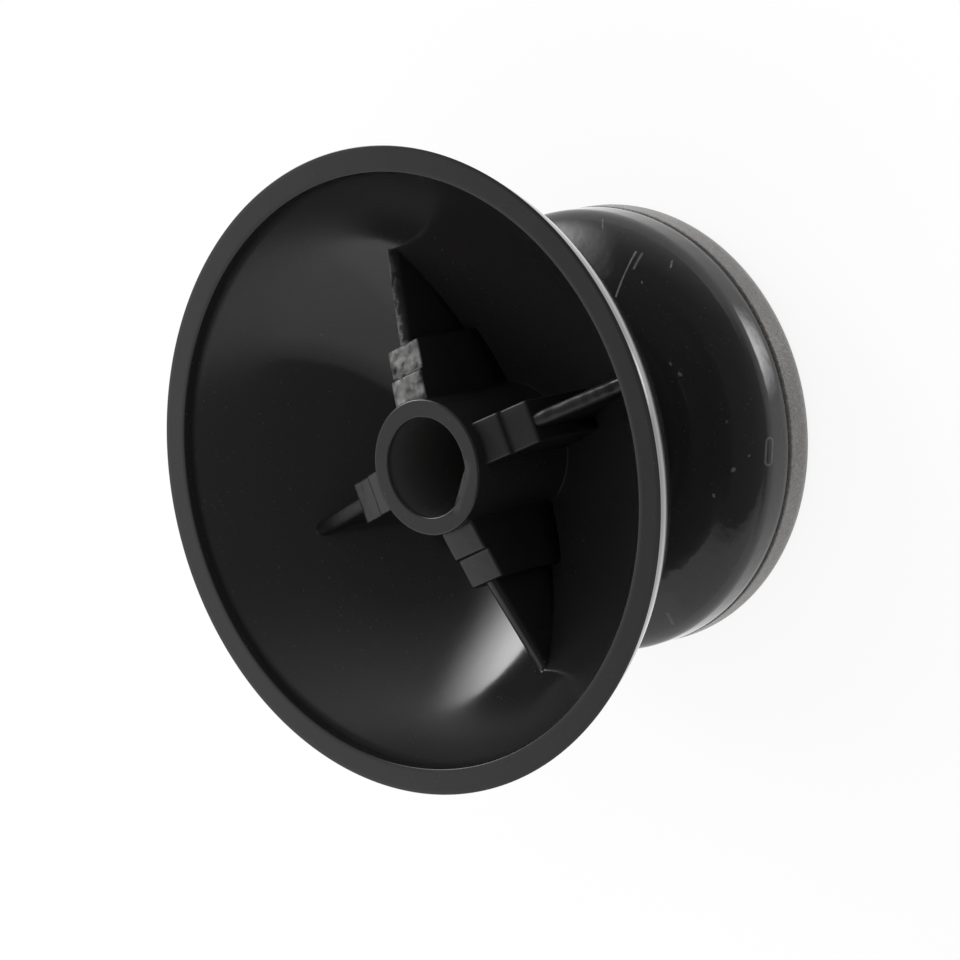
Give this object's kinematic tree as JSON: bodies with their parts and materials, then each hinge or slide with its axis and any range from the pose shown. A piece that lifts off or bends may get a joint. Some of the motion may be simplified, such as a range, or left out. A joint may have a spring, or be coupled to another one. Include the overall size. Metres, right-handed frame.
{
  "type": "thumbstick cap",
  "caption": "Round cap for a controller's thumbstick: a domed skirt with a ribbed D-bore boss inside, a short neck and a rubber-topped mushroom head.",
  "frame": {"origin": "middle of the flat ring of the thumb pad that the cap stands on", "axes": "+Z along the cap's axis, from the thumb pad out of the skirt's mouth; +X along one of the ribs, with the flat of the bore at 225 degrees"},
  "size_m": [0.025, 0.025, 0.0147],
  "materials": {
    "body_plastic": "glossy black, as moulded, with light scratches",
    "pad_rubber": "matte black with a fine grain"
  },
  "bodies": {
    "root": {"stick_body": "body_plastic", "thumb_pad": "pad_rubber"}
  },
  "joints": []
}
